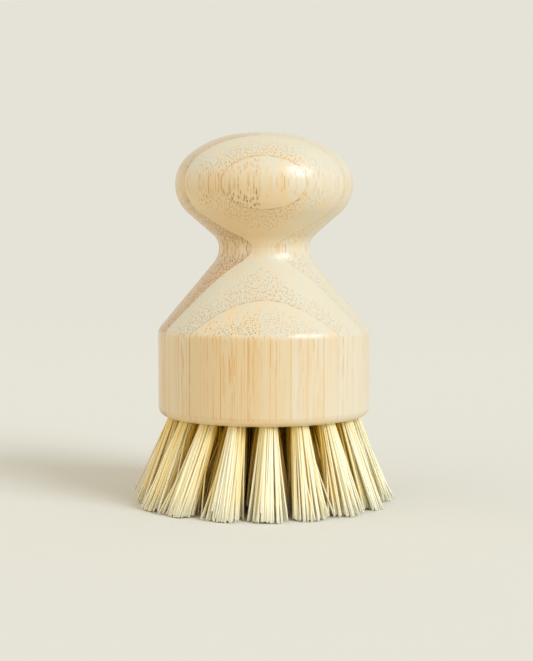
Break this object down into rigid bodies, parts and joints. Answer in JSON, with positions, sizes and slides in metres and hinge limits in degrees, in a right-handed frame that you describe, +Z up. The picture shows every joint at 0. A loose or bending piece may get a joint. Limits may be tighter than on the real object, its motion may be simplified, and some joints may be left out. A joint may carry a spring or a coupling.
{
  "type": "vegetable brush",
  "caption": "Palm-sized round scrubbing brush: a turned bamboo block with a knob, a narrow neck and a straight-sided head, on splayed tufts of stiff pale fibre.",
  "frame": {"origin": "on the floor plane that the bristle tips stand on, under the axis of the turned block", "axes": "+Z up along the block's axis to the knob; -Y to the front"},
  "size_m": [0.0665, 0.0672, 0.0951],
  "materials": {
    "bamboo": "satin lacquered laminated bamboo",
    "bristle_fibre": "stiff natural plant fibre",
    "anchor_wire": "flat plated wire"
  },
  "bodies": {
    "root": {"block": "bamboo", "knob": "bamboo", "tuft_anchors": "anchor_wire", "tuft_centre": "bristle_fibre", "tuft_inner_01": "bristle_fibre", "tuft_inner_02": "bristle_fibre", "tuft_inner_03": "bristle_fibre", "tuft_inner_04": "bristle_fibre", "tuft_inner_05": "bristle_fibre", "tuft_inner_06": "bristle_fibre", "tuft_middle_01": "bristle_fibre", "tuft_middle_02": "bristle_fibre", "tuft_middle_03": "bristle_fibre", "tuft_middle_04": "bristle_fibre", "tuft_middle_05": "bristle_fibre", "tuft_middle_06": "bristle_fibre", "tuft_middle_07": "bristle_fibre", "tuft_middle_08": "bristle_fibre", "tuft_middle_09": "bristle_fibre", "tuft_middle_10": "bristle_fibre", "tuft_middle_11": "bristle_fibre", "tuft_middle_12": "bristle_fibre", "tuft_outer_01": "bristle_fibre", "tuft_outer_02": "bristle_fibre", "tuft_outer_03": "bristle_fibre", "tuft_outer_04": "bristle_fibre", "tuft_outer_05": "bristle_fibre", "tuft_outer_06": "bristle_fibre", "tuft_outer_07": "bristle_fibre", "tuft_outer_08": "bristle_fibre", "tuft_outer_09": "bristle_fibre", "tuft_outer_10": "bristle_fibre", "tuft_outer_11": "bristle_fibre", "tuft_outer_12": "bristle_fibre", "tuft_outer_13": "bristle_fibre", "tuft_outer_14": "bristle_fibre", "tuft_outer_15": "bristle_fibre", "tuft_outer_16": "bristle_fibre", "tuft_outer_17": "bristle_fibre", "tuft_outer_18": "bristle_fibre"}
  },
  "joints": []
}
